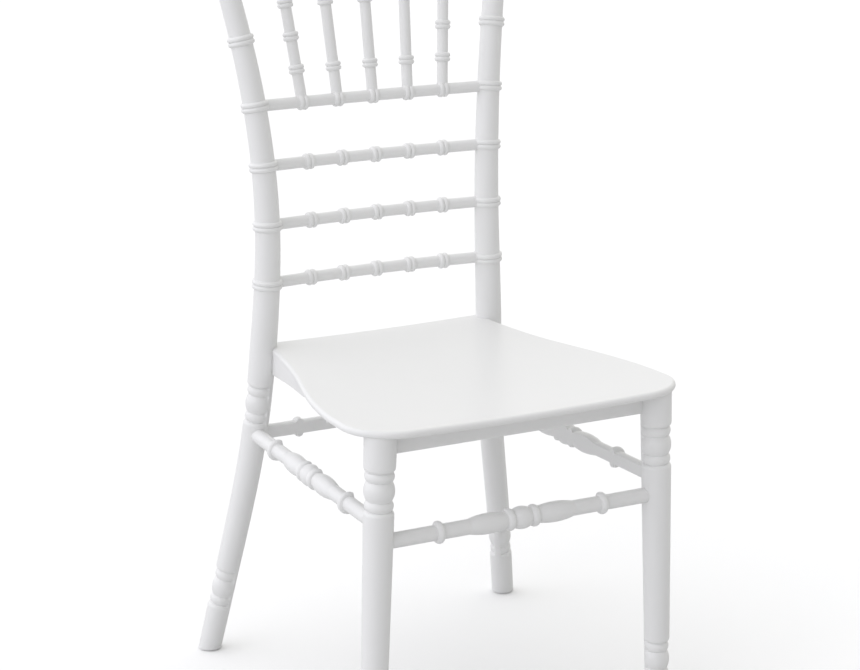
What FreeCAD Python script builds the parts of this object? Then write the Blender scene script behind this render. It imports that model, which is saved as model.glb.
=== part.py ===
import FreeCAD, Part
import math
import os
from FreeCAD import Placement, Rotation, Vector

# A chiavari chair moulded in plastic, whose members plug into one another.
# Millimetres. X runs to the right of someone facing the chair, Y to its back and Z up.
# The origin is on the floor, under the middle of the chair's overall box.
# Left and right are those of someone facing the chair.

# Heights
seat_top = 428.0
crest_height = 944.0
spindle_rail_height = 904.0
back_rail_heights = [739.0, 663.0, 587.0, 511.0]
knot_height = 821.5
side_stretcher_height = 308.0
front_stretcher_height = 286.0
glide_height = 2.5

# Rear posts: height, half spread, set back of the centre line
post_stations = [
    (-25.0, 230.0, 233.7),
    (150.0, 200.8, 202.2),
    (300.0, 176.5, 181.5),
    (428.0, 166.0, 168.2),
    (587.0, 159.3, 163.8),
    (739.0, 168.3, 176.5),
    (860.0, 186.6, 196.4),
    (962.0, 207.8, 216.0),
]
post_top = 961.0
post_foot_radius = 15.0
post_seat_radius = 17.3
post_top_radius = 13.1
post_crown = 5.0
post_steps = 15

# Front legs: upright in the side view, splayed a little in the front view
leg_set_back = -212.3
leg_top_spread = 188.5
leg_foot_spread = 202.0
leg_foot_radius = 15.0
leg_top_radius = 19.7

# Turned groups on the legs, each a ball between two beads
upper_group_height = 350.5
front_lower_group_height = 65.0
rear_lower_group_height = 92.0
rear_group_heights = [upper_group_height, rear_lower_group_height]
group_half = 29.5
group_ball_half = 12.0
group_bead_half = 6.1
group_groove_share = 0.2
group_bead_drop = 1.1
group_ball_drop = 0.1
group_shoulder_drop = 1.0
group_shoulder_width = 2.0
plain_corner_angle = 45.0
bead_flat_share = 0.45
leg_plug = 1.5

# Back rails and spindles
rail_radius = 7.4
rail_knot_radius = 10.6
rail_knot_length = 13.0
spindle_radius = 7.1
spindle_knot_radius = 10.2
spindle_knot_length = 11.5
post_knot_rise = 3.1
post_knot_length = 12.6
post_knot_groove = 1.9
knot_shares = [-0.6, -0.3, 0.0, 0.3, 0.6]
top_bow = 5.0
bow_step = 1.5
rail_seat = 8.0
spindle_seat = 5.0

# Stretchers
stretcher_radius = 9.4
stretcher_collar_radius = 13.9
stretcher_collar_at = 113.0
stretcher_pear_radius = 12.8
stretcher_pear_at = 46.0
stretcher_pear_end = 72.0
stretcher_groove_radius = 10.7
stretcher_ring_radius = 13.8
stretcher_ring_at = 17.0
stretcher_ball_radius = 14.1
stretcher_bead_half = 4.9
stretcher_flat = 6.2
side_middle_share = 0.512
rear_stretcher_radius = 9.2
rear_collar_radius = 13.2
stretcher_seat = 11.5

# Seat shell
seat_middle = Vector(0, -33.0, 422.5)
seat_dish_radius = 6500.0
seat_panel = 6.0
lip_depth = 9.5
lip_width = 9.0
seat_front = -244.0
seat_back = 182.0
seat_front_half = 225.0
seat_corner_radius = 62.0
seat_edge_round = 4.5
skirt_width = 5.0
skirt_margin = 0.3
skirt_reach = 60.0
skirt_post_bottom = 390.3
skirt_middle = (46.0, 397.6)
skirt_front = (-83.0, 418.5)
rib_width = 3.0
rib_depth = 9.0

# Seat rails under the shell
front_rail_face = -211.3
front_rail_width = 14.0
front_rail_bottom = 394.5
rear_rail_width = 18.0
rear_rail_bottom = 395.0


# Solid turned about Z. A step of the outline is (radius, height), or a middle and an end point for an arc.
def turned(outline, angle=360.0):
    edges = []
    here = Vector(outline[0][0], 0, outline[0][1])
    for step in outline[1:]:
        end = Vector(step[-2], 0, step[-1])
        if len(step) == 4:
            through = Vector(step[0], 0, step[1])
            edges.append(Part.Arc(here, through, end).toShape())
        else:
            edges.append(Part.makeLine(here, end))
        here = end
    edges.append(Part.makeLine(here, Vector(outline[0][0], 0, outline[0][1])))
    face = Part.Face(Part.Wire(edges))
    return face.revolve(Vector(0, 0, 0), Vector(0, 0, 1), angle)


def placed(shape, point, direction):
    moved = shape.copy()
    moved.Placement = Placement(point, Rotation(Vector(0, 0, 1), direction)).multiply(shape.Placement)
    return moved


# Solid round member through circles, each given as its centre, direction and radius.
def lofted(circles):
    wires = [Part.Wire(Part.Circle(centre, direction, radius).toShape()) for centre, direction, radius in circles]
    return Part.makeLoft(wires, True, True)


# Centre line of a rear post: side is -1 for the left one and 1 for the right one.
def post_line(side):
    line = Part.BSplineCurve()
    line.interpolate([Vector(side * spread, back, height) for height, spread, back in post_stations])
    return line


# Point and direction of a line where it passes a height.
def at_height(line, height):
    low, high = line.FirstParameter, line.LastParameter
    for halving in range(40):
        middle = (low + high) / 2
        if line.value(middle).z < height:
            low = middle
        else:
            high = middle
    return line.value(low), line.tangent(low)[0]


def post_point(side, height):
    return at_height(post_lines[side], height)[0]


def post_radius(height):
    if height < seat_top:
        share = max(height, 0.0) / seat_top
        return post_foot_radius + share * (post_seat_radius - post_foot_radius)
    share = (height - seat_top) / (crest_height - seat_top)
    return post_seat_radius + share * (post_top_radius - post_seat_radius)


def leg_point(side, height):
    share = height / seat_top
    return Vector(side * (leg_foot_spread + share * (leg_top_spread - leg_foot_spread)), leg_set_back, height)


def leg_radius(height):
    return leg_foot_radius + height / seat_top * (leg_top_radius - leg_foot_radius)


# Bead on a turned outline that has reached the groove before it: up, along its flat top and down.
def bead(middle, half, groove, top):
    flat_half = bead_flat_share * half
    return [(top, middle - flat_half), (top, middle + flat_half), (groove, middle + half)]


# Ring of waste that a turned group leaves out of a leg: a ball between two beads, with grooves
# between them and rounded shoulders. The corner that faces inwards stays plain, as the mould leaves it.
def group_waste(point, direction, radius, inward):
    bead_top = radius - group_bead_drop
    groove = radius * (1 - group_groove_share)
    ball = radius - group_ball_drop
    shoulder = radius - group_shoulder_drop
    skin = radius + 0.5
    outside = radius + 6.0
    bead_at = group_ball_half + group_bead_half
    bead_end = group_ball_half + 2 * group_bead_half
    shoulder_at = bead_end + group_shoulder_width
    outline = [
        (outside, -group_half),
        (skin, -group_half),
        (shoulder, -shoulder_at, groove, -bead_end),
    ]
    outline += bead(-bead_at, group_bead_half, groove, bead_top)
    outline += [(ball, 0, groove, group_ball_half)]
    outline += bead(bead_at, group_bead_half, groove, bead_top)
    outline += [(shoulder, shoulder_at, skin, group_half), (outside, group_half)]
    ring = turned(outline, 360.0 - plain_corner_angle)
    turn = math.degrees(math.atan2(inward.y, inward.x)) + plain_corner_angle / 2
    ring.rotate(Vector(0, 0, 0), Vector(0, 0, 1), turn)
    return placed(ring, point, direction)


# Heights and radii of a rear post, which has a knot of two rings at every rail and one between.
def post_profile():
    knots = back_rail_heights + [knot_height, spindle_rail_height, crest_height]
    profile = []
    bottom = post_stations[0][0]
    for number in range(post_steps):
        height = bottom + number * (crest_height - bottom) / post_steps
        clear_of_knots = all(abs(height - knot) > post_knot_length for knot in knots)
        if clear_of_knots and all(abs(height - group) > group_half for group in rear_group_heights):
            profile.append((height, post_radius(height)))
    for height in knots:
        radius = post_radius(height)
        ring = radius + post_knot_rise
        ring_at = post_knot_length / 4
        profile += [(height - 2 * ring_at, radius), (height + 2 * ring_at, radius)]
        profile += [(height - ring_at, ring), (height, ring - post_knot_groove), (height + ring_at, ring)]
    profile += [(post_top - post_crown, post_top_radius), (post_top, post_top_radius - post_crown)]
    return profile


# Rear post. It bows, but runs straight where a group is turned on it.
def rear_post(side):
    line = post_lines[side]
    circles = [at_height(line, height) + (radius,) for height, radius in post_profile()]
    waste = [Part.makeBox(100, 100, 60, Vector(side * 230 - 50, 184, glide_height - 60))]
    for height in rear_group_heights:
        point, direction = at_height(line, height)
        for reach in (-group_half, group_half):
            circles.append((point + direction * reach, direction, post_radius(height + reach)))
        waste.append(group_waste(point, direction, post_radius(height), Vector(-side, -1, 0)))
    circles.sort(key=lambda circle: circle[0].z)
    return lofted(circles).cut(waste)


def front_leg(side):
    foot = leg_point(side, 0)
    top = leg_point(side, seat_top - seat_panel + leg_plug)
    axis = (top - foot).normalize()
    start = foot - axis * 20
    end = top + axis * 20
    cone = Part.makeCone(leg_radius(start.z), leg_radius(end.z), (end - start).Length, start, axis)
    waste = [
        Part.makeBox(80, 80, 60, Vector(foot.x - 40, foot.y - 40, glide_height - 60)),
        Part.makeBox(80, 80, 60, Vector(top.x - 40, top.y - 40, top.z)),
    ]
    for height in (upper_group_height, front_lower_group_height):
        point = leg_point(side, height)
        waste.append(group_waste(point, axis, leg_radius(height), Vector(-side, 1, 0)))
    return cone.cut(waste)


# Foot glide: a disc under the leg.
def foot_glide(point, radius):
    return Part.makeCylinder(radius, glide_height, Vector(point.x, point.y, 0))


# Points of a rail that spans the posts at one height and bows to the back in the middle.
def rail_point(height, bow, share):
    post = post_point(1, height)
    return Vector(share * post.x, post.y + bow * (1 - share * share), height)


# Back rail between the posts: straight rods between the knots, where the rail turns a little.
def back_rail(height, bow, knots):
    half_length = post_point(1, height).x
    end_share = 1 - rail_seat / half_length
    knot_half = rail_knot_length / 2 / half_length
    starts = [-end_share] + [share + knot_half for share in knots]
    ends = [share - knot_half for share in knots] + [end_share]
    circles = []
    for start_share, end_share in zip(starts, ends):
        start = rail_point(height, bow, start_share)
        end = rail_point(height, bow, end_share)
        circles += [(start, end - start, rail_radius), (end, end - start, rail_radius)]
        if end_share < starts[-1]:
            for share in (end_share + knot_half * 0.6, end_share + knot_half * 1.4):
                direction = Vector(half_length, -2 * bow * share, 0)
                circles.append((rail_point(height, bow, share), direction, rail_knot_radius))
    return lofted(circles)


# Spindle between two rails, with knots at the given shares of its length.
def spindle(start, end, shares):
    length = (end - start).Length
    outline = [(0, spindle_seat), (spindle_radius, spindle_seat)]
    half = spindle_knot_length / 2
    for share in shares:
        middle = share * length
        outline += [
            (spindle_radius, middle - half),
            (spindle_knot_radius, middle),
            (spindle_radius, middle + half),
        ]
    outline += [(spindle_radius, length - spindle_seat), (0, length - spindle_seat)]
    return placed(turned(outline), start, end - start)


# Outline of one half of a turned stretcher, from its middle outwards: ball, ring, pear and collar.
def stretcher_outline(half_length):
    ring_start = stretcher_ring_at - stretcher_bead_half
    collar_start = stretcher_collar_at - stretcher_bead_half
    ball_turn = stretcher_ball_radius - 0.25 * (stretcher_ball_radius - stretcher_groove_radius)
    outline = [
        (stretcher_ball_radius, 0),
        (ball_turn, ring_start / 2, stretcher_groove_radius, ring_start),
    ]
    outline += bead(stretcher_ring_at, stretcher_bead_half, stretcher_groove_radius, stretcher_ring_radius)
    outline += [
        (stretcher_pear_radius, stretcher_pear_at, stretcher_radius, stretcher_pear_end),
        (stretcher_radius, collar_start),
    ]
    outline += bead(stretcher_collar_at, stretcher_bead_half, stretcher_radius, stretcher_collar_radius)
    return outline + [(stretcher_radius, half_length)]


def turned_half(outline):
    return turned([(0, 0)] + outline + [(0, outline[-1][-1])])


# The side of a stretcher that faces the middle of the chair is flat. It is the left side, going from
# its start to its end, so the stretchers go round the chair against the clock.
def flat_sided(stretcher, start, end):
    along = end - start
    waste = Part.makeBox(along.Length, 20, 60, Vector(0, stretcher_flat, -30))
    waste.Placement = Placement(start, Rotation(Vector(0, 0, 1), math.degrees(math.atan2(along.y, along.x))))
    return stretcher.cut(waste)


# Turned stretcher: two mirrored halves about the middle of its collars.
def turned_stretcher(start, end, middle_share):
    middle = start + (end - start) * middle_share
    halves = []
    for tip in (start, end):
        reach = tip - middle
        halves.append(placed(turned_half(stretcher_outline(reach.Length - stretcher_seat)), middle, reach))
    return flat_sided(halves[0].fuse(halves[1]).removeSplitter(), start, end)


def plain_stretcher(start, end):
    length = (end - start).Length
    outline = [(0, stretcher_seat), (rear_stretcher_radius, stretcher_seat)]
    for collar_at in (length / 2 - stretcher_collar_at, length / 2 + stretcher_collar_at):
        outline += [(rear_stretcher_radius, collar_at - stretcher_bead_half)]
        outline += bead(collar_at, stretcher_bead_half, rear_stretcher_radius, rear_collar_radius)
    outline += [(rear_stretcher_radius, length - stretcher_seat), (0, length - stretcher_seat)]
    return flat_sided(placed(turned(outline), start, end - start), start, end)


# Half spread of the seat's edge: narrow between the posts and full at the front corners.
seat_edge_stations = [
    (182.0, 157.0),
    (115.0, 166.0),
    (42.0, 181.0),
    (-23.0, 200.0),
    (-91.0, 216.5),
    (-150.0, 224.0),
]


# Outline of the seat seen from above, moved inwards by a margin.
def seat_outline(margin):
    corner = Vector(seat_front_half - seat_corner_radius, seat_front + seat_corner_radius, 0)
    reach = seat_corner_radius - margin
    slope = math.sqrt(0.5) * reach
    back = seat_back - margin
    side_line = Part.BSplineCurve()
    side_points = [Vector(spread - margin, min(depth, back), 0) for depth, spread in seat_edge_stations]
    side_line.interpolate(side_points + [corner + Vector(reach, 0, 0)])
    right = side_line.toShape()
    corner_arc = Part.Arc(
        corner + Vector(reach, 0, 0),
        corner + Vector(slope, -slope, 0),
        corner + Vector(0, -reach, 0),
    ).toShape()
    mirror = [edge.mirror(Vector(0, 0, 0), Vector(1, 0, 0)) for edge in (right, corner_arc)]
    front = Part.makeLine(corner + Vector(0, -reach, 0), Vector(-corner.x, corner.y - reach, 0))
    rear = Part.makeLine(Vector(-side_points[0].x, back, 0), side_points[0])
    return Part.Wire(Part.__sortEdges__([right, corner_arc, front, mirror[1], mirror[0], rear]))


# The seat is dished like a shallow part of a ball. This ball reaches down to a depth under the seat's top.
def dish(depth):
    centre = seat_middle + Vector(0, 0, seat_dish_radius)
    return Part.makeSphere(seat_dish_radius + depth, centre, Vector(0, 1, 0))


# Dished layer inside the seat's outline, between two depths under its top.
def seat_layer(margin, upper_depth, lower_depth):
    slab = Part.Face(seat_outline(margin)).extrude(Vector(0, 0, 120))
    slab.translate(Vector(0, 0, seat_top - 90))
    return slab.common(dish(lower_depth)).cut(dish(upper_depth))


# Skirt under each side edge: deep at the post and running out to the lip halfway along the side.
def skirts():
    front_end = Vector(0, *skirt_front)
    rear_end = Vector(0, seat_back, skirt_post_bottom)
    lower = Part.Arc(front_end, Vector(0, *skirt_middle), rear_end).toShape()
    edges = [
        lower,
        Part.makeLine(rear_end, Vector(0, seat_back, seat_top)),
        Part.makeLine(Vector(0, seat_back, seat_top), Vector(0, skirt_front[0], seat_top)),
        Part.makeLine(Vector(0, skirt_front[0], seat_top), front_end),
    ]
    side_view = Part.Face(Part.Wire(edges)).extrude(Vector(500, 0, 0))
    side_view.translate(Vector(-250, 0, 0))
    wall = seat_layer(skirt_margin, lip_depth / 2, skirt_reach)
    wall = wall.cut(seat_layer(skirt_margin + skirt_width, 0, skirt_reach + 1))
    rear = Part.makeBox(290, 60, 60, Vector(-145, seat_back - 30, skirt_post_bottom - 10))
    return wall.common(side_view).cut(rear)


# Edges of the seat's layer that go round it, along its top and along the lip's underside.
def edges_at_depths(layer, depths):
    centre = seat_middle + Vector(0, 0, seat_dish_radius)
    found = []
    for edge in layer.Edges:
        for depth in depths:
            ends = [vertex.Point.distanceToPoint(centre) for vertex in edge.Vertexes]
            if all(abs(end - seat_dish_radius - depth) < 0.01 for end in ends):
                found.append(edge)
    return found


def seat_ribs():
    inside = seat_layer(lip_width - 1, seat_panel - 1, seat_panel + rib_depth)
    height = 60
    bottom = seat_top - height
    ribs = []
    for x in (-90.0, 0.0, 90.0):
        ribs.append(Part.makeBox(rib_width, 380, height, Vector(x - rib_width / 2, front_rail_face, bottom)))
    for y in (-120.0, -30.0, 60.0):
        ribs.append(Part.makeBox(460, rib_width, height, Vector(-230, y - rib_width / 2, bottom)))
    return [rib.common(inside) for rib in ribs]


def seat_shell(posts, legs, rails):
    shell = seat_layer(0, 0, lip_depth)
    shell = shell.makeFillet(seat_edge_round, edges_at_depths(shell, [0, lip_depth]))
    shell = shell.cut(seat_layer(lip_width, seat_panel, lip_depth + 1))
    shell = shell.fuse(seat_ribs() + [skirts()])
    return shell.cut(posts + legs + rails).removeSplitter()


# The seat rails reach up to the underside of the seat's panel.
def front_seat_rail():
    half = leg_top_spread - 10
    height = seat_top - front_rail_bottom
    bar = Part.makeBox(2 * half, front_rail_width, height, Vector(-half, front_rail_face, front_rail_bottom))
    return bar.cut(dish(seat_panel))


def rear_seat_rail():
    post = post_point(1, seat_top)
    half = post.x - 9
    height = seat_top - rear_rail_bottom
    corner = Vector(-half, post.y - rear_rail_width / 2, rear_rail_bottom)
    return Part.makeBox(2 * half, rear_rail_width, height, corner).cut(dish(seat_panel))


def spindles(lower_height, lower_bow, upper_height, upper_bow, knots_for):
    made = []
    for share in knot_shares:
        start = rail_point(lower_height, lower_bow, share)
        end = rail_point(upper_height, upper_bow, share)
        made.append(spindle(start, end, knots_for(share)))
    return made


# The outer spindles have a third knot, in line with the one on the posts.
def main_knots(share):
    return [0.25, 0.5, 0.75] if abs(share) > 0.5 else [0.25, 0.75]


def no_knots(share):
    return []


post_lines = {side: post_line(side) for side in (-1, 1)}
sides = {"left": -1, "right": 1}
parts = {}

rails = []
for number, height in enumerate(back_rail_heights):
    rails.append(back_rail(height, top_bow + number * bow_step, knot_shares))
spindle_rail = back_rail(spindle_rail_height, top_bow, knot_shares)
crest_rail = back_rail(crest_height, top_bow, knot_shares)
main_spindles = spindles(back_rail_heights[0], top_bow, spindle_rail_height, top_bow, main_knots)
crest_spindles = spindles(spindle_rail_height, top_bow, crest_height, top_bow, no_knots)

leg_ends = {name: leg_point(side, side_stretcher_height) for name, side in sides.items()}
post_ends = {name: post_point(side, side_stretcher_height) for name, side in sides.items()}
side_stretchers = {
    "left": turned_stretcher(post_ends["left"], leg_ends["left"], 1 - side_middle_share),
    "right": turned_stretcher(leg_ends["right"], post_ends["right"], side_middle_share),
}
front_stretcher = turned_stretcher(
    leg_point(-1, front_stretcher_height), leg_point(1, front_stretcher_height), 0.5)
rear_stretcher = plain_stretcher(post_ends["right"], post_ends["left"])

front_rail = front_seat_rail()
rear_rail = rear_seat_rail()

posts = {name: rear_post(side) for name, side in sides.items()}
legs = {name: front_leg(side) for name, side in sides.items()}
shell = seat_shell(list(posts.values()), list(legs.values()), [front_rail, rear_rail])

for name in sides:
    sockets = rails + [spindle_rail, crest_rail, side_stretchers[name], rear_stretcher, rear_rail]
    parts["rear_post_" + name] = posts[name].cut(sockets)
    parts["front_leg_" + name] = legs[name].cut([side_stretchers[name], front_stretcher, front_rail])
    parts[name + "_stretcher"] = side_stretchers[name]
parts["front_stretcher"] = front_stretcher
parts["rear_stretcher"] = rear_stretcher
parts["front_seat_rail"] = front_rail
parts["rear_seat_rail"] = rear_rail
parts["seat_shell"] = shell
parts["back_rail_1"] = rails[0].cut(main_spindles)
for number in (2, 3, 4):
    parts["back_rail_%d" % number] = rails[number - 1]
parts["spindle_rail"] = spindle_rail.cut(main_spindles + crest_spindles)
parts["crest_rail"] = crest_rail.cut(crest_spindles)
for number, piece in enumerate(main_spindles, 1):
    parts["spindle_%d" % number] = piece
for number, piece in enumerate(crest_spindles, 1):
    parts["crest_spindle_%d" % number] = piece
for name, side in sides.items():
    parts["front_glide_" + name] = foot_glide(leg_point(side, glide_height), leg_foot_radius - 2)
    parts["rear_glide_" + name] = foot_glide(post_point(side, glide_height), post_foot_radius - 2)

os.makedirs("parts", exist_ok=True)
for name, shape in parts.items():
    shape.exportStep("parts/%s.step" % name)
    print(name, "solids", len(shape.Solids), "valid", shape.isValid(), "volume", round(shape.Volume))
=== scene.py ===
import bpy
import bmesh
import math
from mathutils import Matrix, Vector


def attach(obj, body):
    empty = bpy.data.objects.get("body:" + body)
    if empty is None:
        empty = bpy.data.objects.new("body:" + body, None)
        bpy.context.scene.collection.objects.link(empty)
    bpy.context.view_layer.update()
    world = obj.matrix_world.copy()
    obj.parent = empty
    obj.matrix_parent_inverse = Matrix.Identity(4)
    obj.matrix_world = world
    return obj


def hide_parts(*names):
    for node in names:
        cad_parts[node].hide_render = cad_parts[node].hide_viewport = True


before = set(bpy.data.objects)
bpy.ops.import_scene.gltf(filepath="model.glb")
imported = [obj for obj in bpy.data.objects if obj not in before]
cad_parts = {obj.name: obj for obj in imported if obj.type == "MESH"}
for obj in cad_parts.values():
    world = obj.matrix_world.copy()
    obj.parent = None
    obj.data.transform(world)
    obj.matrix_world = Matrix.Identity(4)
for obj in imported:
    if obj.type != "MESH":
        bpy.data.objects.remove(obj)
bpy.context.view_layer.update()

# White moulded chiavari chair. Metres, the front faces -Y, left is the left of someone facing it.

chair = {  # heights that several pieces go by, with the back's rails from the top back rail down
    "seatTop": 0.428, "upperGroup": 0.3505, "glide": 0.0025, "lineStart": -0.02,
    "backRails": [0.739, 0.663, 0.587, 0.511], "spindleRail": 0.904, "crestRail": 0.944,
}


# Smooth lines

def naturalSpline(stations):  # cubic through (height, x, y), returned as a function of height
    heights = [s[0] for s in stations]
    count = len(heights)
    steps = [heights[i + 1] - heights[i] for i in range(count - 1)]

    def bends(values):  # second derivatives, solved from the ends inwards
        lower, right = [0.0] * count, [0.0] * count
        for i in range(1, count - 1):
            change = (values[i + 1] - values[i]) / steps[i] - (values[i] - values[i - 1]) / steps[i - 1]
            pivot = 2 * (steps[i - 1] + steps[i]) - steps[i - 1] * lower[i - 1]
            lower[i] = steps[i] / pivot
            right[i] = (6 * change - steps[i - 1] * right[i - 1]) / pivot
        bend = [0.0] * count
        for i in range(count - 2, 0, -1):
            bend[i] = right[i] - lower[i] * bend[i + 1]
        return bend

    tracks = [([s[k] for s in stations], bends([s[k] for s in stations])) for k in (1, 2)]

    def at(height):
        i = max(0, min(count - 2, sum(h <= height for h in heights) - 1))
        step = steps[i]
        a, b = (heights[i + 1] - height) / step, (height - heights[i]) / step
        x, y = [a * v[i] + b * v[i + 1] + ((a ** 3 - a) * m[i] + (b ** 3 - b) * m[i + 1]) * step ** 2 / 6
                for v, m in tracks]
        return Vector((x, y, height))
    return at


def rounded(height, half, distance):  # half ellipse of this height, zero outside its half width
    share = abs(distance) / half
    return height * math.sqrt(1 - share * share) if share < 1 else 0.0


def arched(height, half, distance):  # part of a circle, of this height in its middle
    if abs(distance) >= half:
        return 0.0
    radius = (half * half + height * height) / (2 * height)
    return math.sqrt(radius * radius - distance * distance) - (radius - height)


def throughPoints(points, at):  # height at this place of the plain curve through all the points
    total = 0.0
    for i, (place, height) in enumerate(points):
        weight = 1.0
        for j, (other, unused) in enumerate(points):
            if i != j:
                weight *= (at - other) / (place - other)
        total += weight * height
    return total


def spread(start, end, step):  # evenly placed values from start to end
    count = max(1, math.ceil(abs(end - start) / step))
    return [start + (end - start) * i / count for i in range(count + 1)]


# Node trees

def addNode(tree, kind, links=(), **settings):  # links: input name or number -> value or output socket
    node = tree.nodes.new(kind)
    for key, value in settings.items():
        setattr(node, key, value)
    for key, value in dict(links).items():
        socket = node.inputs[key]
        if isinstance(value, bpy.types.NodeSocket):
            tree.links.new(value, socket)
        else:
            socket.default_value = value
    return node


def calculate(tree, operation, *values):
    return addNode(tree, "ShaderNodeMath", enumerate(values), operation=operation).outputs[0]


def scaled(tree, vector, factor):
    return addNode(tree, "ShaderNodeVectorMath", {0: vector, "Scale": factor}, operation="SCALE").outputs[0]


def alongDirection(tree, vector, direction):  # how far a vector goes in this direction
    node = addNode(tree, "ShaderNodeVectorMath", {0: vector, 1: direction}, operation="DOT_PRODUCT")
    return node.outputs["Value"]


def newTree(name, inputs):  # Geometry Nodes tree, and the identifier of each of its inputs
    tree = bpy.data.node_groups.new(name, "GeometryNodeTree")
    tree.interface.new_socket(name="Geometry", in_out="INPUT", socket_type="NodeSocketGeometry")
    sockets = {}
    for label, kind in inputs:
        socket = tree.interface.new_socket(name=label, in_out="INPUT", socket_type="NodeSocket" + kind)
        sockets[label] = socket.identifier
    tree.interface.new_socket(name="Geometry", in_out="OUTPUT", socket_type="NodeSocketGeometry")
    return tree, sockets


def readAttribute(tree, name, kind="FLOAT"):
    node = addNode(tree, "GeometryNodeInputNamedAttribute", {"Name": name}, data_type=kind)
    return node.outputs["Attribute"]


def finishTree(tree, geometry, material):
    smooth = addNode(tree, "GeometryNodeSetShadeSmooth", {"Geometry": geometry})
    real = addNode(tree, "GeometryNodeRealizeInstances", {"Geometry": smooth.outputs[0]})
    painted = addNode(tree, "GeometryNodeSetMaterial", {"Geometry": real.outputs[0], "Material": material})
    addNode(tree, "NodeGroupOutput", {"Geometry": painted.outputs[0]})


def makeMemberTree():  # round member along a line, with its turned groups left plain on one corner
    tree, sockets = newTree("turnedMember", [
        ("Sides", "Int"), ("Plain Direction", "Vector"), ("Plain Edge", "Float"),
        ("Blend Start", "Float"), ("Blend End", "Float"), ("Finish", "Material")])
    given = addNode(tree, "NodeGroupInput").outputs
    line = addNode(tree, "GeometryNodeMeshToCurve", {"Mesh": given["Geometry"]})
    circle = addNode(tree, "GeometryNodeCurvePrimitiveCircle", {"Resolution": given["Sides"], "Radius": 1.0})
    swept = addNode(tree, "GeometryNodeCurveToMesh", {
        "Curve": line.outputs[0], "Profile Curve": circle.outputs["Curve"],
        "Scale": readAttribute(tree, "turnRadius"), "Fill Caps": True})
    normal = addNode(tree, "GeometryNodeInputNormal").outputs[0]
    facing = alongDirection(tree, normal, given["Plain Direction"])
    turned = addNode(tree, "ShaderNodeMapRange", {
        "Value": calculate(tree, "SUBTRACT", facing, given["Plain Edge"]),
        "From Min": given["Blend Start"], "From Max": given["Blend End"], "To Min": 1.0, "To Max": 0.0},
        interpolation_type="SMOOTHSTEP")
    depth = calculate(tree, "MULTIPLY", turned.outputs[0], readAttribute(tree, "turnDepth"))
    inward = scaled(tree, scaled(tree, normal, depth), -1.0)
    carved = addNode(tree, "GeometryNodeSetPosition", {"Geometry": swept.outputs[0], "Offset": inward})
    finishTree(tree, carved.outputs[0], given["Finish"])
    return tree, sockets


def makeRingTree():  # a pair of raised rings side by side at every knot of a member
    tree, sockets = newTree("knotRings", [
        ("Ring Thickness", "Float"), ("Ring Spacing", "Float"), ("Around", "Int"), ("Across", "Int"),
        ("Finish", "Material")])
    given = addNode(tree, "NodeGroupInput").outputs
    along = readAttribute(tree, "knotDirection", "FLOAT_VECTOR")
    pair = []
    for side in (-0.5, 0.5):
        shift = scaled(tree, along, calculate(tree, "MULTIPLY", given["Ring Spacing"], side))
        moved = addNode(tree, "GeometryNodeSetPosition", {"Geometry": given["Geometry"], "Offset": shift})
        pair.append(moved.outputs[0])
    both = addNode(tree, "GeometryNodeJoinGeometry")
    for place in pair:
        tree.links.new(place, both.inputs[0])
    turn = addNode(tree, "FunctionNodeAlignRotationToVector", {"Vector": along}, axis="Z")
    loop = addNode(tree, "GeometryNodeCurvePrimitiveCircle", {"Resolution": given["Around"], "Radius": 1.0})
    radius = readAttribute(tree, "knotRadius")
    size = addNode(tree, "ShaderNodeCombineXYZ", {"X": radius, "Y": radius, "Z": 1.0})
    loops = addNode(tree, "GeometryNodeInstanceOnPoints", {
        "Points": both.outputs[0], "Instance": loop.outputs["Curve"], "Rotation": turn.outputs[0],
        "Scale": size.outputs[0]})
    real = addNode(tree, "GeometryNodeRealizeInstances", {"Geometry": loops.outputs[0]})
    bead = addNode(tree, "GeometryNodeCurvePrimitiveCircle", {
        "Resolution": given["Across"], "Radius": given["Ring Thickness"]})
    rings = addNode(tree, "GeometryNodeCurveToMesh", {
        "Curve": real.outputs[0], "Profile Curve": bead.outputs["Curve"], "Scale": 1.0})
    finishTree(tree, rings.outputs[0], given["Finish"])
    return tree, sockets


def makeRibTree():  # moulded ribs, each a bar with the length and turn of its point
    tree, sockets = newTree("seatRibs", [
        ("Rib Width", "Float"), ("Rib Depth", "Float"), ("Finish", "Material")])
    given = addNode(tree, "NodeGroupInput").outputs
    bar = addNode(tree, "GeometryNodeMeshCube", {"Size": (1.0, 1.0, 1.0)})
    size = addNode(tree, "ShaderNodeCombineXYZ", {
        "X": readAttribute(tree, "ribLength"), "Y": given["Rib Width"], "Z": given["Rib Depth"]})
    turn = addNode(tree, "FunctionNodeAlignRotationToVector", {
        "Vector": readAttribute(tree, "ribDirection", "FLOAT_VECTOR")}, axis="X")
    bars = addNode(tree, "GeometryNodeInstanceOnPoints", {
        "Points": given["Geometry"], "Instance": bar.outputs["Mesh"], "Rotation": turn.outputs[0],
        "Scale": size.outputs[0]})
    real = addNode(tree, "GeometryNodeRealizeInstances", {"Geometry": bars.outputs[0]})
    painted = addNode(tree, "GeometryNodeSetMaterial", {
        "Geometry": real.outputs[0], "Material": given["Finish"]})
    addNode(tree, "NodeGroupOutput", {"Geometry": painted.outputs[0]})
    return tree, sockets


memberTree = makeMemberTree()
ringTree = makeRingTree()
ribTree = makeRibTree()


# Meshes and pieces

group = {  # turned group on a leg or post: distances from its middle, depths under the plain leg
    "ballHalf": 0.012, "beadHalf": 0.0061, "half": 0.0295, "grooveShare": 0.2, "bead": 0.0011, "ball": 0.0001,
    "plainAngle": 45.0, "blendStart": -0.05, "blendEnd": 0.02,  # the blend is in cosines round the plain edge
    "plainStep": 0.008, "overlap": 0.001,
}


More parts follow.
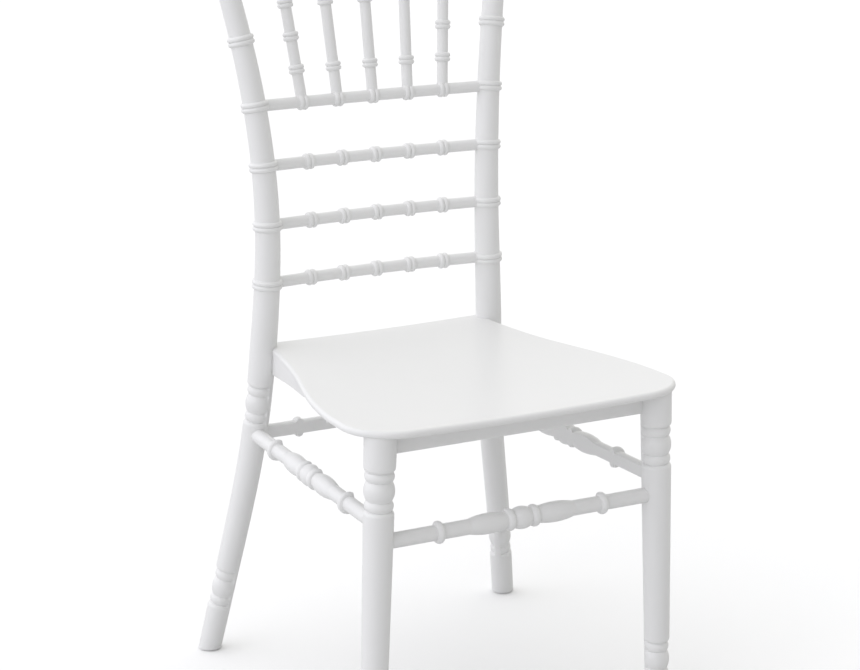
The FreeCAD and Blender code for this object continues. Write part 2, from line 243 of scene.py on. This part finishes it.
def bake(treeAndSockets, points, edges, attributes, values):  # points through a tree, as a plain mesh
    tree, sockets = treeAndSockets
    start = bpy.data.meshes.new("start")
    start.from_pydata([tuple(p) for p in points], edges, [])
    for name, column in attributes.items():
        if isinstance(column[0], (int, float)):
            start.attributes.new(name, "FLOAT", "POINT").data.foreach_set("value", column)
        else:
            flat = [number for vector in column for number in vector]
            start.attributes.new(name, "FLOAT_VECTOR", "POINT").data.foreach_set("vector", flat)
    carrier = bpy.data.objects.new("carrier", start)
    bpy.context.scene.collection.objects.link(carrier)
    modifier = carrier.modifiers.new("make", "NODES")
    modifier.node_group = tree
    for label, value in values.items():
        modifier[sockets[label]] = value
    depsgraph = bpy.context.evaluated_depsgraph_get()
    mesh = bpy.data.meshes.new_from_object(carrier.evaluated_get(depsgraph), depsgraph=depsgraph)
    carrier.modifiers.remove(modifier)
    bpy.data.objects.remove(carrier)
    for name in [a.name for a in mesh.attributes if a.name in attributes]:
        mesh.attributes.remove(mesh.attributes[name])
    return mesh


def memberMesh(circles, sides, material, depths=None, plainDirection=(0, 0, 0)):  # circles: centre, radius
    count = len(circles)
    edges = [(i, i + 1) for i in range(count - 1)]
    plainEdge = math.cos(math.radians(group["plainAngle"] / 2))
    return bake(memberTree, [c[0] for c in circles], edges,
                {"turnRadius": [c[1] for c in circles], "turnDepth": depths or [0.0] * count},
                {"Sides": sides, "Plain Direction": plainDirection, "Plain Edge": plainEdge,
                 "Blend Start": group["blendStart"], "Blend End": group["blendEnd"], "Finish": material})


ringSection = 18  # sides of a ring's round section


def ringMesh(knots, sizes, around, material):  # knots: centre, direction, radius
    return bake(ringTree, [k[0] for k in knots], [],
                {"knotDirection": [tuple(k[1].normalized()) for k in knots],
                 "knotRadius": [k[2] - sizes["ringSink"] for k in knots]},
                {"Ring Thickness": sizes["ringThickness"], "Ring Spacing": sizes["ringSpacing"],
                 "Around": around, "Across": ringSection, "Finish": material})


# trims: a point on each cut and the direction that is cut away
def makePiece(name, meshes, replaced, trims=(), creaseAngle=38):
    shape = bmesh.new()
    for mesh in meshes:
        shape.from_mesh(mesh)
    for point, beyond in trims:
        bmesh.ops.bisect_plane(shape, geom=shape.verts[:] + shape.edges[:] + shape.faces[:], dist=1e-7,
                               plane_co=point, plane_no=beyond, clear_outer=True)
        bmesh.ops.holes_fill(shape, edges=[e for e in shape.edges if e.is_boundary], sides=0)
    bmesh.ops.remove_doubles(shape, verts=shape.verts[:], dist=1e-6)
    bmesh.ops.recalc_face_normals(shape, faces=shape.faces[:])
    mesh = bpy.data.meshes.new(name)
    shape.to_mesh(mesh)
    shape.free()
    for material in meshes[0].materials:
        mesh.materials.append(material)
    mesh.polygons.foreach_set("use_smooth", [True] * len(mesh.polygons))
    mesh.set_sharp_from_angle(angle=math.radians(creaseAngle))
    piece = bpy.data.objects.new(name, mesh)
    bpy.context.scene.collection.objects.link(piece)
    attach(piece, "root")
    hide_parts(*replaced)
    return piece


# Finishes

surface = {  # scales are per metre
    "cloudScale": 7.0, "cloudRoughness": 0.55, "speckScale": 90.0, "speckShare": 0.35, "rubbedScale": 22.0,
    "rubbedRoughness": 0.6, "rubbedFrom": 0.45, "rubbedTo": 0.75, "unevenGloss": 0.12, "peelHeight": 0.0001,
}

# A roughness of 0.26 to 0.29 leaves flecks on the seat when the render is denoised, so the whites are
# rougher.
finishes = {
    "framePlastic": {"Plastic Colour": (0.79, 0.79, 0.785, 1), "Plain Roughness": 0.31, "Tone Drift": 0.03,
                     "Scuffs": 0.04, "Peel Depth": 0.03, "Peel Scale": 700.0},
    "seatPlastic": {"Plastic Colour": (0.79, 0.79, 0.785, 1), "Plain Roughness": 0.31, "Tone Drift": 0.02,
                    "Scuffs": 0.04, "Peel Depth": 0.015, "Peel Scale": 700.0},
    "glidePlastic": {"Plastic Colour": (0.74, 0.74, 0.73, 1), "Plain Roughness": 0.55, "Tone Drift": 0.10,
                     "Scuffs": 0.25, "Peel Depth": 0.35, "Peel Scale": 1500.0},
}


def makeMouldedSurface():  # what every moulded face has: faint tone drift, handling scuffs, fine peel
    tree = bpy.data.node_groups.new("mouldedSurface", "ShaderNodeTree")
    for label, kind in (("Plastic Colour", "Color"), ("Tone Drift", "Float"), ("Plain Roughness", "Float"),
                        ("Scuffs", "Float"), ("Peel Depth", "Float"), ("Peel Scale", "Float")):
        tree.interface.new_socket(name=label, in_out="INPUT", socket_type="NodeSocket" + kind)
    for label, kind in (("Colour", "Color"), ("Roughness", "Float"), ("Normal", "Vector")):
        tree.interface.new_socket(name=label, in_out="OUTPUT", socket_type="NodeSocket" + kind)
    given = addNode(tree, "NodeGroupInput").outputs
    place = addNode(tree, "ShaderNodeTexCoord").outputs["Object"]

    cloud = addNode(tree, "ShaderNodeTexNoise", {
        "Vector": place, "Scale": surface["cloudScale"], "Detail": 4.0,
        "Roughness": surface["cloudRoughness"]})
    fine = addNode(tree, "ShaderNodeTexNoise", {
        "Vector": place, "Scale": surface["speckScale"], "Detail": 3.0})
    drift = calculate(tree, "SUBTRACT", cloud.outputs["Fac"], 0.5)
    speck = calculate(tree, "SUBTRACT", fine.outputs["Fac"], 0.5)
    mixed = calculate(tree, "MULTIPLY_ADD", speck, surface["speckShare"], drift)
    tone = calculate(tree, "MULTIPLY_ADD", mixed, given["Tone Drift"], 1.0)
    colour = scaled(tree, given["Plastic Colour"], tone)

    rubbed = addNode(tree, "ShaderNodeTexNoise", {
        "Vector": place, "Scale": surface["rubbedScale"], "Detail": 5.0,
        "Roughness": surface["rubbedRoughness"]})
    scuffed = addNode(tree, "ShaderNodeMapRange", {
        "Value": rubbed.outputs["Fac"], "From Min": surface["rubbedFrom"], "From Max": surface["rubbedTo"],
        "To Min": 0.0, "To Max": 1.0})
    worn = calculate(tree, "MULTIPLY_ADD", scuffed.outputs[0], given["Scuffs"], given["Plain Roughness"])
    uneven = calculate(tree, "MULTIPLY_ADD", drift, surface["unevenGloss"], worn)

    peel = addNode(tree, "ShaderNodeTexNoise", {"Vector": place, "Scale": given["Peel Scale"], "Detail": 2.0})
    bump = addNode(tree, "ShaderNodeBump", {
        "Strength": given["Peel Depth"], "Distance": surface["peelHeight"], "Height": peel.outputs["Fac"]})
    addNode(tree, "NodeGroupOutput", {"Colour": colour, "Roughness": uneven, "Normal": bump.outputs[0]})
    return tree


mouldedSurface = makeMouldedSurface()


def plastic(name):
    material = bpy.data.materials.new(name)
    material.use_nodes = True
    tree = material.node_tree
    shader = tree.nodes["Principled BSDF"]
    moulded = addNode(tree, "ShaderNodeGroup", node_tree=mouldedSurface)
    for label, value in finishes[name].items():
        moulded.inputs[label].default_value = value
    for source, target in (("Colour", "Base Color"), ("Roughness", "Roughness"), ("Normal", "Normal")):
        tree.links.new(moulded.outputs[source], shader.inputs[target])
    shader.inputs["IOR"].default_value = 1.5
    return material


framePlastic = plastic("framePlastic")
seatPlastic = plastic("seatPlastic")
glidePlastic = plastic("glidePlastic")
print("finishes made")


# Turned groups

def groupDepth(distance, radius):  # how deep a group lies under the plain leg, this far from its middle
    distance, groove = abs(distance), group["grooveShare"] * radius
    beadEnd = group["ballHalf"] + 2 * group["beadHalf"]
    if distance < group["ballHalf"]:
        return groove - arched(groove - group["ball"], group["ballHalf"], distance)
    if distance < beadEnd:
        middle = group["ballHalf"] + group["beadHalf"]
        return groove - arched(groove - group["bead"], group["beadHalf"], distance - middle)
    return groove - rounded(groove, group["half"] - beadEnd, max(0.0, group["half"] - distance))


def heightsWithGroups(start, end, groups, step):  # close together in the groups, wide apart elsewhere
    reach = group["half"] + group["overlap"]
    heights = set(spread(start, end, group["plainStep"]))
    for middle in groups:
        heights = {h for h in heights if abs(h - middle) > reach + group["overlap"]}
        heights |= set(spread(middle - reach, middle + reach, step / 2))
    return sorted(heights)


def turnedDepths(circles, groups, lean):  # lean: height gained per length along the leg
    return [max(groupDepth((centre.z - middle) / lean, radius)
                if abs(centre.z - middle) < group["half"] * lean else 0.0 for middle in groups)
            for centre, radius in circles]


# Posts

post = {
    # height, half spread, place along Y
    "stations": [(-0.025, 0.2300, 0.2337), (0.150, 0.2008, 0.2022), (0.300, 0.1765, 0.1815),
                 (0.428, 0.1660, 0.1682), (0.587, 0.1593, 0.1638), (0.739, 0.1683, 0.1765),
                 (0.860, 0.1866, 0.1964), (0.962, 0.2078, 0.2160)],
    "footRadius": 0.0150, "seatRadius": 0.0173, "topRadius": 0.0131, "top": 0.961,
    "crown": 0.005, "crownPower": 0.7, "crownEnd": 0.0004,
    "ringThickness": 0.0034, "ringSpacing": 0.0060, "ringSink": 0.0003,
    "groups": [chair["upperGroup"], 0.092], "sides": 72, "step": 0.0015,
}

middleKnot = (chair["backRails"][0] + chair["spindleRail"]) / 2
postKnots = [*chair["backRails"], middleKnot, chair["spindleRail"], chair["crestRail"]]
postLine = naturalSpline(post["stations"])
underFeet = ((0, 0, chair["glide"]), (0, 0, -1))


def postPoint(side, height):
    place = postLine(height)
    return Vector((side * place.x, place.y, height))


def postDirection(side, height):
    nudge = 0.0005
    return (postPoint(side, height + nudge) - postPoint(side, height - nudge)).normalized()


def postRadius(height):
    if height < chair["seatTop"]:
        share = max(height, 0.0) / chair["seatTop"]
        return post["footRadius"] + share * (post["seatRadius"] - post["footRadius"])
    share = (height - chair["seatTop"]) / (chair["crestRail"] - chair["seatTop"])
    return post["seatRadius"] + min(1.0, share) * (post["topRadius"] - post["seatRadius"])


def makePost(side, label):
    crownStart = post["top"] - post["crown"]
    heights = heightsWithGroups(chair["lineStart"], crownStart, post["groups"], post["step"])
    circles = [(postPoint(side, h), postRadius(h)) for h in heights]
    for angle in range(10, 91, 10):
        height = crownStart + post["crown"] * math.sin(math.radians(angle))
        radius = post["topRadius"] * math.cos(math.radians(angle)) ** post["crownPower"]
        circles.append((postPoint(side, height), max(post["crownEnd"], radius)))
    inward = (-side * math.sqrt(0.5), -math.sqrt(0.5), 0.0)
    depths = turnedDepths(circles, post["groups"], postDirection(side, post["groups"][0]).z)
    body = memberMesh(circles, post["sides"], framePlastic, depths, inward)
    knots = [(postPoint(side, h), postDirection(side, h), postRadius(h)) for h in sorted(postKnots)]
    rings = ringMesh(knots, post, post["sides"], framePlastic)
    makePiece("rearPost" + label, [body, rings], ["rear_post_" + label.lower()], [underFeet])


for side, label in ((-1, "Left"), (1, "Right")):
    makePost(side, label)
print("posts made")


# Front legs

leg = {
    "setBack": -0.2123, "topSpread": 0.1885, "footSpread": 0.202, "footRadius": 0.0150, "topRadius": 0.0197,
    "groups": [chair["upperGroup"], 0.065], "top": 0.4235, "overTop": 0.01, "sides": 72, "step": 0.0012,
}


def legPoint(side, height):
    share = height / chair["seatTop"]
    halfSpread = leg["footSpread"] + share * (leg["topSpread"] - leg["footSpread"])
    return Vector((side * halfSpread, leg["setBack"], height))


def legRadius(height):
    return leg["footRadius"] + height / chair["seatTop"] * (leg["topRadius"] - leg["footRadius"])


def makeLeg(side, label):
    heights = heightsWithGroups(chair["lineStart"], leg["top"] + leg["overTop"], leg["groups"], leg["step"])
    circles = [(legPoint(side, h), legRadius(h)) for h in heights]
    inward = (-side * math.sqrt(0.5), math.sqrt(0.5), 0.0)
    body = memberMesh(circles, leg["sides"], framePlastic, turnedDepths(circles, leg["groups"], 1.0), inward)
    makePiece("frontLeg" + label, [body], ["front_leg_" + label.lower()],
              [underFeet, ((0, 0, leg["top"]), (0, 0, 1))])


for side, label in ((-1, "Left"), (1, "Right")):
    makeLeg(side, label)
print("legs made")


# Back rails

rail = {
    "bows": [0.005, 0.0065, 0.008, 0.0095], "upperBow": 0.005, "radius": 0.0074, "endInPost": 0.008,
    "stepShare": 0.05, "knotShares": [-0.6, -0.3, 0.0, 0.3, 0.6], "ringThickness": 0.0034,
    "ringSpacing": 0.0060, "ringSink": 0.0003, "sides": 40,
}


def railPoint(height, bow, share):  # share: from -1 at the left post to 1 at the right one
    end = postLine(height)
    return Vector((share * end.x, end.y + bow * (1 - share * share), height))


def makeBackRail(name, height, bow, replaced):
    halfLength = postLine(height).x
    endShare = 1 - rail["endInPost"] / halfLength
    circles = [(railPoint(height, bow, share), rail["radius"])
               for share in spread(-endShare, endShare, rail["stepShare"])]
    knots = [(railPoint(height, bow, share), Vector((halfLength, -2 * bow * share, 0)), rail["radius"])
             for share in rail["knotShares"]]
    body = memberMesh(circles, rail["sides"], framePlastic)
    makePiece(name, [body, ringMesh(knots, rail, rail["sides"], framePlastic)], [replaced])


for number, (height, bow) in enumerate(zip(chair["backRails"], rail["bows"]), 1):
    makeBackRail("backRail%d" % number, height, bow, "back_rail_%d" % number)
makeBackRail("spindleRail", chair["spindleRail"], rail["upperBow"], "spindle_rail")
makeBackRail("crestRail", chair["crestRail"], rail["upperBow"], "crest_rail")


# Spindles

spindle = {
    "radius": 0.0071, "ringThickness": 0.0032, "ringSpacing": 0.0054, "ringSink": 0.0001,
    "knotShares": [0.25, 0.75], "outerShares": [0.25, 0.5, 0.75], "endShare": 0.03, "stepShare": 0.1,
    "sides": 36,
}


def makeSpindle(name, low, high, shares, replaced):
    direction = high - low
    circles = [(low + direction * share, spindle["radius"])
               for share in spread(spindle["endShare"], 1 - spindle["endShare"], spindle["stepShare"])]
    meshes = [memberMesh(circles, spindle["sides"], framePlastic)]
    if shares:
        knots = [(low + direction * share, direction, spindle["radius"]) for share in shares]
        meshes.append(ringMesh(knots, spindle, spindle["sides"], framePlastic))
    makePiece(name, meshes, [replaced])


for number, share in enumerate(rail["knotShares"], 1):
    bottom = railPoint(chair["backRails"][0], rail["bows"][0], share)
    middle = railPoint(chair["spindleRail"], rail["upperBow"], share)
    top = railPoint(chair["crestRail"], rail["upperBow"], share)
    outer = number in (1, len(rail["knotShares"]))
    makeSpindle("spindle%d" % number, bottom, middle, spindle["outerShares" if outer else "knotShares"],
                "spindle_%d" % number)
    makeSpindle("crestSpindle%d" % number, middle, top, [], "crest_spindle_%d" % number)
print("back made")


# Stretchers

stretcher = {
    "height": 0.308, "frontHeight": 0.286, "middleShare": 0.512, "endInLeg": 0.008, "radius": 0.0095,
    "flat": 0.0062, "collarAt": 0.113, "collarRadius": 0.0139, "beadHalf": 0.0047, "pearAt": 0.046,
    "pearRadius": 0.0128, "pearEnd": 0.072, "groove": 0.0105, "ringAt": 0.0169, "ringRadius": 0.0138,
    "ballRadius": 0.0141, "rearRadius": 0.0094, "rearCollarRadius": 0.0134, "sides": 64, "step": 0.0006,
}


def turnedRadius(distance):  # radius of a turned stretcher at this distance from its middle
    s, distance = stretcher, abs(distance)
    ringStart, ringEnd = s["ringAt"] - s["beadHalf"], s["ringAt"] + s["beadHalf"]
    if distance < ringStart:
        return s["groove"] + arched(s["ballRadius"] - s["groove"], ringStart, distance)
    if distance < ringEnd:
        return s["groove"] + rounded(s["ringRadius"] - s["groove"], s["beadHalf"], distance - s["ringAt"])
    pear = arched(s["pearRadius"] - s["radius"], s["pearEnd"] - s["pearAt"], distance - s["pearAt"])
    collar = rounded(s["collarRadius"] - s["radius"], s["beadHalf"], distance - s["collarAt"])
    return s["radius"] + pear + collar


def plainRadius(distance):
    s = stretcher
    rise = s["rearCollarRadius"] - s["rearRadius"]
    return s["rearRadius"] + rounded(rise, s["beadHalf"], abs(distance) - s["collarAt"])


def makeStretcher(name, start, end, middleShare, radiusAt, replaced):  # flat on the left from start to end
    length = (end - start).length
    along = (end - start) / length
    before, after = length * middleShare, length * (1 - middleShare)
    circles = []
    for distance in spread(stretcher["endInLeg"] - before, after - stretcher["endInLeg"], stretcher["step"]):
        circles.append((start + along * (distance + before), radiusAt(distance)))
    left = Vector((-along.y, along.x, 0.0)).normalized()
    makePiece(name, [memberMesh(circles, stretcher["sides"], framePlastic)], [replaced],
              [(start + left * stretcher["flat"], left)])


legEnds = [legPoint(side, stretcher["height"]) for side in (-1, 1)]
postEnds = [postPoint(side, stretcher["height"]) for side in (-1, 1)]
fromLeg = stretcher["middleShare"]
makeStretcher("leftStretcher", postEnds[0], legEnds[0], 1 - fromLeg, turnedRadius, "left_stretcher")
makeStretcher("rightStretcher", legEnds[1], postEnds[1], fromLeg, turnedRadius, "right_stretcher")
makeStretcher("rearStretcher", postEnds[1], postEnds[0], 0.5, plainRadius, "rear_stretcher")
makeStretcher("frontStretcher", legPoint(-1, stretcher["frontHeight"]), legPoint(1, stretcher["frontHeight"]),
              0.5, turnedRadius, "front_stretcher")
print("stretchers made")


# Seat

seat = {
    # dished like a shallow part of a ball, whose lowest point is "middle": place along Y, height
    "middle": (-0.033, 0.4225), "dishRadius": 6.5, "panel": 0.006, "lipDepth": 0.0095, "lipWidth": 0.009,
    "lipRound": 0.0005, "edgeRound": 0.0046, "front": -0.244, "back": 0.182, "frontHalf": 0.225,
    "corner": 0.062, "backStep": 0.01, "sideStep": 0.006, "frontStep": 0.02, "overlap": 0.001,
    # place along Y, half width
    "sideStations": [(0.182, 0.157), (0.115, 0.166), (0.042, 0.181), (-0.023, 0.200), (-0.091, 0.2165),
                     (-0.150, 0.224)],
    "loopShares": (0.02, 0.15, 0.3, 0.45, 0.6, 0.72, 0.82, 0.9, 0.96, 0.99),
    # place along Y, height of the lower edge
    "skirt": [(-0.040, 0.4192), (0.050, 0.4033), (0.182, 0.3903)],
    "skirtMargin": 0.0003, "skirtWidth": 0.005, "skirtRound": 0.0008, "skirtRearEnd": (0.150, 0.152),
    "ribWidth": 0.003, "ribDepth": 0.009, "ribsAcross": [-0.120, -0.030, 0.060],
    "ribsAlong": [-0.090, 0.0, 0.090], "ribMiddle": -0.020, "ribLength": 0.37, "ribBars": 20,
}

sideLine = naturalSpline([(-y, x, 0.0) for y, x in seat["sideStations"]]
                         + [(-seat["front"] - seat["corner"], seat["frontHalf"], 0.0)])


def halfWidthAt(y):
    return sideLine(-y).x


def seatOutline():  # right half from the rear middle round to the front middle, then its mirror image
    cornerX, cornerY = seat["frontHalf"] - seat["corner"], seat["front"] + seat["corner"]
    right = [(x, seat["back"]) for x in spread(0.0, halfWidthAt(seat["back"]), seat["backStep"])[:-1]]
    right += [(halfWidthAt(y), y) for y in spread(seat["back"], cornerY, seat["sideStep"])]
    for angle in range(5, 91, 5):
        turn = math.radians(angle)
        right.append((cornerX + seat["corner"] * math.cos(turn), cornerY - seat["corner"] * math.sin(turn)))
    right += [(x, seat["front"]) for x in spread(cornerX, 0.0, seat["frontStep"])[1:]]
    return right + [(-x, y) for x, y in reversed(right[1:-1])]


def insetOutline(points, margins):
    inset = []
    for i, (x, y) in enumerate(points):
        before, after = points[i - 1], points[(i + 1) % len(points)]
        along = Vector((after[0] - before[0], after[1] - before[1])).normalized()
        inset.append((x + along.y * margins[i], y - along.x * margins[i]))
    return inset


def seatHeight(x, y):
    middleY, lowest = seat["middle"]
    return lowest + (x * x + (y - middleY) ** 2) / (2 * seat["dishRadius"])


def skirtDepth(x, y):  # depth of the skirt's lower edge under the seat's top, or none where it has no skirt
    rearX, rearY = seat["skirtRearEnd"]
    if y <= seat["skirt"][0][0] or (y > rearY and abs(x) < rearX):
        return 0.0
    return seatHeight(x, y) - throughPoints(seat["skirt"], y)


def edgeSection(skirt):  # from the seat's top round its edge to the panel's underside: margins and depths
    radius, lip, width, panel = seat["edgeRound"], seat["lipDepth"], seat["lipWidth"], seat["panel"]
    wall, inner = seat["skirtMargin"], seat["skirtMargin"] + seat["skirtWidth"]
    soft, near, thin = seat["skirtRound"], 0.3 * seat["skirtRound"], 0.0001
    turns = [math.radians(angle) for angle in range(0, 91, 10)]
    upper = [(radius * (1 - math.sin(turn)), radius * (1 - math.cos(turn))) for turn in turns]
    lower = [(radius * (1 - math.cos(turn)), lip - radius * (1 - math.sin(turn))) for turn in turns]
    wallTop = lip - radius + math.sqrt(radius ** 2 - (radius - wall) ** 2)
    section = upper + lower[:2] + [(wall, wallTop)]
    section.append((wall, max(wallTop, min(wallTop + seat["overlap"], skirt - soft))))
    section.append((wall, max(wallTop, skirt - soft)))
    section.append((wall + near, max(wallTop, skirt - near)))
    section += [(margin, max(depth, skirt)) for margin, depth in lower[3:]]
    section.append((inner - near, max(lip, skirt - near)))
    section.append((inner, max(lip, skirt - soft)))
    section.append((inner + thin, lip))
    section += [(width - seat["lipRound"], lip), (width, lip - seat["lipRound"])]
    return section + [(width, panel), (width + seat["overlap"], panel)]


def shrunkLoop(loop, share, depth):  # loop drawn in towards the middle, on the dished face at this depth
    middleY = seat["middle"][0]
    places = [(x * share, middleY + (y - middleY) * share) for x, y, z in loop]
    return [(x, y, seatHeight(x, y) - depth) for x, y in places]


def shellMesh():
    outline = seatOutline()
    sections = [edgeSection(skirtDepth(x, y)) for x, y in outline]
    edge = []
    for step in range(len(sections[0])):
        places = insetOutline(outline, [section[step][0] for section in sections])
        edge.append([(x, y, seatHeight(*outline[i]) - sections[i][step][1])
                     for i, (x, y) in enumerate(places)])
    loops = [shrunkLoop(edge[0], share, 0.0) for share in seat["loopShares"]] + edge
    loops += [shrunkLoop(edge[-1], share, seat["panel"]) for share in reversed(seat["loopShares"])]
    count = len(outline)
    faces = []
    for start in range(0, count * (len(loops) - 1), count):
        for i in range(count):
            j = (i + 1) % count
            faces.append([start + i, start + j, start + count + j, start + count + i])
    faces.append(list(range(count)))
    faces.append(list(range(count * (len(loops) - 1), count * len(loops))))
    shell = bpy.data.meshes.new("shell")
    shell.from_pydata([place for loop in loops for place in loop], [], faces)
    shell.materials.append(seatPlastic)
    return shell


def ribMesh():  # short bars in rows, so that the ribs follow the dish
    rows = [((0.0, y), (1.0, 0.0, 0.0), 2 * (halfWidthAt(y) - seat["lipWidth"] + seat["overlap"]))
            for y in seat["ribsAcross"]]
    rows += [((x, seat["ribMiddle"]), (0.0, 1.0, 0.0), seat["ribLength"]) for x in seat["ribsAlong"]]
    bars, stretch = seat["ribBars"], 1.01
    lastBar = 0.5 - 0.5 / bars
    places, lengths, directions = [], [], []
    for (x, y), direction, length in rows:
        for along in spread(-lastBar, lastBar, 1 / bars):
            place = (x + direction[0] * along * length, y + direction[1] * along * length)
            places.append((*place, seatHeight(*place) - seat["panel"] - seat["ribDepth"] / 2))
            lengths.append(length / bars * stretch)  # so that each bar reaches into the next
            directions.append(direction)
    return bake(ribTree, places, [], {"ribLength": lengths, "ribDirection": directions},
                {"Rib Width": seat["ribWidth"], "Rib Depth": seat["ribDepth"] + seat["overlap"],
                 "Finish": seatPlastic})


makePiece("seatShell", [shellMesh(), ribMesh()], ["seat_shell"], creaseAngle=17)


# Rails under the seat

seatRail = {
    "top": 0.422, "frontFace": -0.2113, "frontWidth": 0.014, "frontBottom": 0.3915, "frontHalf": 0.1785,
    "rearWidth": 0.018, "rearBottom": 0.395, "rearHalf": 0.157, "round": 0.0014,
}


def makeBar(name, half, faces, bottom, replaced):  # faces: front and rear along Y
    low = Vector((-half, faces[0], bottom))
    high = Vector((half, faces[1], seatRail["top"]))
    shape = bmesh.new()
    bmesh.ops.create_cube(shape, size=1.0)
    size, middle = high - low, (high + low) / 2
    for vertex in shape.verts:
        vertex.co = Vector([vertex.co[k] * size[k] + middle[k] for k in range(3)])
    bmesh.ops.bevel(shape, geom=shape.edges[:], offset=seatRail["round"], segments=4, profile=0.5,
                    affect="EDGES")
    bar = bpy.data.meshes.new("bar")
    shape.to_mesh(bar)
    shape.free()
    bar.materials.append(framePlastic)
    makePiece(name, [bar], [replaced])


face, rear, reach = seatRail["frontFace"], postLine(chair["seatTop"]).y, seatRail["rearWidth"] / 2
makeBar("frontSeatRail", seatRail["frontHalf"], (face, face + seatRail["frontWidth"]),
        seatRail["frontBottom"], "front_seat_rail")
makeBar("rearSeatRail", seatRail["rearHalf"], (rear - reach, rear + reach), seatRail["rearBottom"],
        "rear_seat_rail")


# Glides

glide = {"radius": 0.013, "round": 0.0006, "sides": 40}


def makeGlide(name, point, replaced):
    base = Vector((point.x, point.y, 0.0))
    edge = glide["round"]
    circles = [(base + Vector((0, 0, height)), glide["radius"] - inset) for height, inset in (
        (0.0, edge), (edge * 0.3, edge * 0.3), (edge, 0.0), (chair["glide"], 0.0))]
    makePiece(name, [memberMesh(circles, glide["sides"], glidePlastic)], [replaced])


for side, label in ((-1, "Left"), (1, "Right")):
    for end, pointAt in (("front", legPoint), ("rear", postPoint)):
        makeGlide(end + "Glide" + label, pointAt(side, chair["glide"]), end + "_glide_" + label.lower())
print("seat and glides made")


# Studio

studio = {
    "floorSize": 60, "floorGlow": 0.03, "floorBounce": 0.65,  # looks white, but throws back less light
    "tint": (1.0, 1.0, 1.003), "tintTowardsLeft": (0.0, 0.0, 0.05),  # a little bluer from the left
}

studioGlow = {  # soft light from all round, dimmer from the camera's side: where from, how tight, how strong
    "even": ((0.0, 0.0, 1.0), 0.0, 0.98),
    "top": ((0.0, 0.0, 1.0), 2.0, 0.08),
    "topTight": ((0.0, 0.0, 1.0), 12.0, 0.24),
    "left": ((-1.0, 0.0, 0.25), 2.0, 0.50),
    "back": ((0.0, 1.0, 0.25), 2.0, 0.05),
    "front": ((0.0, -1.0, 0.25), 2.0, -0.30),
    "frontLeft": ((-0.7, -0.7, 0.4), 6.0, 0.19),
    "backLeft": ((-0.7, 0.7, 0.4), 6.0, 0.16),
    "frontRight": ((0.7, -0.7, 0.4), 6.0, -0.42),
    "leftHigh": ((-0.7, -0.1, 0.7), 8.0, 0.15),
    "frontHigh": ((-0.1, -0.7, 0.7), 8.0, -0.29),
}


def makeFloor():
    bpy.ops.mesh.primitive_plane_add(size=studio["floorSize"], location=(0, 0, 0))
    floor = bpy.context.object
    floor.name = "studioFloor"
    material = bpy.data.materials.new("studioFloor")
    material.use_nodes = True
    tree = material.node_tree
    shader = tree.nodes["Principled BSDF"]
    for label, value in (("Base Color", (0.94, 0.94, 0.94, 1)), ("Roughness", 0.9),
                         ("Specular IOR Level", 0.0), ("Emission Color", (1, 1, 1, 1)),
                         ("Emission Strength", studio["floorGlow"])):
        shader.inputs[label].default_value = value
    dim = addNode(tree, "ShaderNodeBsdfDiffuse", {"Color": (*[studio["floorBounce"]] * 3, 1)})
    seen = addNode(tree, "ShaderNodeLightPath").outputs["Is Camera Ray"]
    mixed = addNode(tree, "ShaderNodeMixShader", {0: seen, 1: dim.outputs[0], 2: shader.outputs[0]})
    tree.links.new(mixed.outputs[0], tree.nodes["Material Output"].inputs["Surface"])
    floor.data.materials.append(material)


def makeStudioLight():
    world = bpy.data.worlds.new("studio")
    world.use_nodes = True
    tree = world.node_tree
    towards = addNode(tree, "ShaderNodeTexCoord").outputs["Generated"]
    total = 0.0
    for direction, tightness, strength in studioGlow.values():
        facing = alongDirection(tree, towards, tuple(Vector(direction).normalized()))
        lobe = calculate(tree, "POWER", calculate(tree, "MAXIMUM", facing, 0.0), tightness)
        total = calculate(tree, "MULTIPLY_ADD", lobe, strength, total)
    leftward = alongDirection(tree, towards, (-1, 0, 0))
    tint = addNode(tree, "ShaderNodeVectorMath", {
        0: leftward, 1: studio["tintTowardsLeft"], 2: studio["tint"]}, operation="MULTIPLY_ADD")
    background = tree.nodes["Background"]
    tree.links.new(tint.outputs[0], background.inputs["Color"])
    tree.links.new(total, background.inputs["Strength"])
    bpy.context.scene.world = world
    bpy.context.scene.view_settings.view_transform = "Standard"


makeFloor()
makeStudioLight()


# Camera, where the photograph's was

camera = {  # millimetres for the lens and sensor, degrees for the heading and pitch
    "lens": 105.24, "sensor": 36.0, "place": (-1.433, -2.6918, 1.301), "heading": 27.83, "pitch": 15.38,
}


def makeCamera():
    heading, pitch = math.radians(camera["heading"]), math.radians(camera["pitch"])
    lens = bpy.data.cameras.new("camera")
    lens.lens = camera["lens"]
    lens.sensor_width = camera["sensor"]
    lens.clip_end = 100.0
    viewer = bpy.data.objects.new("camera", lens)
    viewer.location = camera["place"]
    viewer.rotation_mode = "QUATERNION"
    level = math.cos(pitch)
    look = Vector((math.sin(heading) * level, math.cos(heading) * level, -math.sin(pitch)))
    viewer.rotation_quaternion = look.to_track_quat("-Z", "Y")
    bpy.context.scene.collection.objects.link(viewer)
    bpy.context.scene.camera = viewer


makeCamera()
print("studio made")
